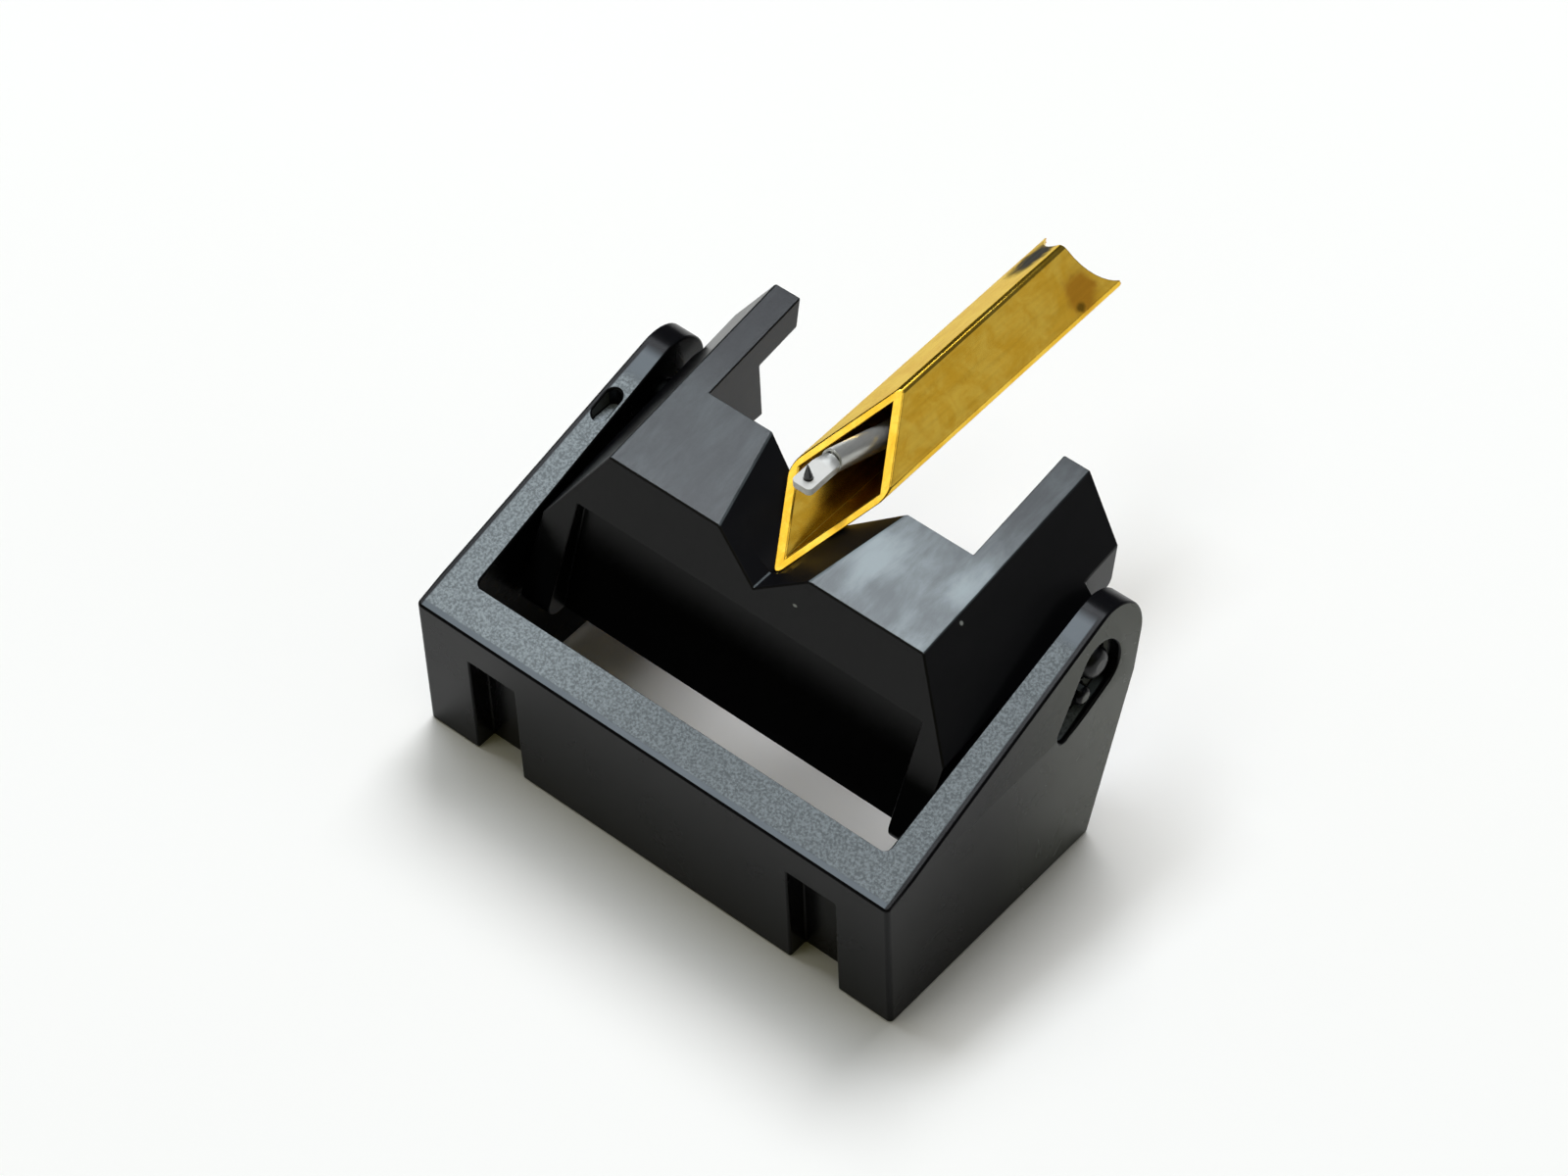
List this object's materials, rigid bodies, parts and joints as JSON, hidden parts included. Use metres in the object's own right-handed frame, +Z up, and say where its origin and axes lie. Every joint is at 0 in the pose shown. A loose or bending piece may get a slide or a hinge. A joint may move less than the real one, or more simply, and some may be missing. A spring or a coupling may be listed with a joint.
{
  "type": "turntable stylus",
  "caption": "Push-in turntable stylus: gold square shank tube with cantilever and tip, held in a black hip-roofed grip that has a hinged U-shaped guard.",
  "frame": {"origin": "centre of the bounding box's bottom, on the surface the guard stands on", "axes": "+Z up with the stylus tip upwards as pictured, +Y back along the shank, +X to the right seen from the front"},
  "size_m": [0.017, 0.0188, 0.0105],
  "materials": {
    "grip_plastic": "black moulded plastic, satin, lightly scuffed",
    "guard_plastic": "black moulded plastic, fine spark-textured top",
    "gold_plate": "gold plated, with a brown stain near the rear end",
    "beam_aluminium": "drawn aluminium, bare",
    "diamond": "polished, dark",
    "elastomer": "moulded",
    "magnet_alloy": "ground",
    "wire_steel": "drawn",
    "plug_brass": "turned"
  },
  "bodies": {
    "grip": {"stylus_grip": "grip_plastic", "shank_tube": "gold_plate", "tie_wire": "wire_steel", "anchor_plug": "plug_brass"},
    "guard": {"stylus_guard": "guard_plastic"},
    "bearing": {"suspension_bearing": "elastomer"},
    "beam": {"cantilever": "beam_aluminium", "diamond_tip": "diamond", "magnet": "magnet_alloy"}
  },
  "joints": [
    {"name": "guard_flip", "type": "hinge", "parent": "grip", "child": "guard", "pos_m": [0, -0.00028, 0.0064], "axis": [-1, 0, 0], "range_deg": [0, 70]},
    {"name": "beam_vertical", "type": "hinge", "parent": "grip", "child": "bearing", "pos_m": [0, 0.00267, 0.00883], "axis": [1, 0, 0], "range_deg": [-2.5, 2.5], "stiffness_Nm_per_rad": 0.0013},
    {"name": "beam_lateral", "type": "hinge", "parent": "bearing", "child": "beam", "pos_m": [0, 0.00267, 0.00883], "axis": [0, 0, 1], "range_deg": [-2.5, 2.5], "stiffness_Nm_per_rad": 0.0013}
  ]
}
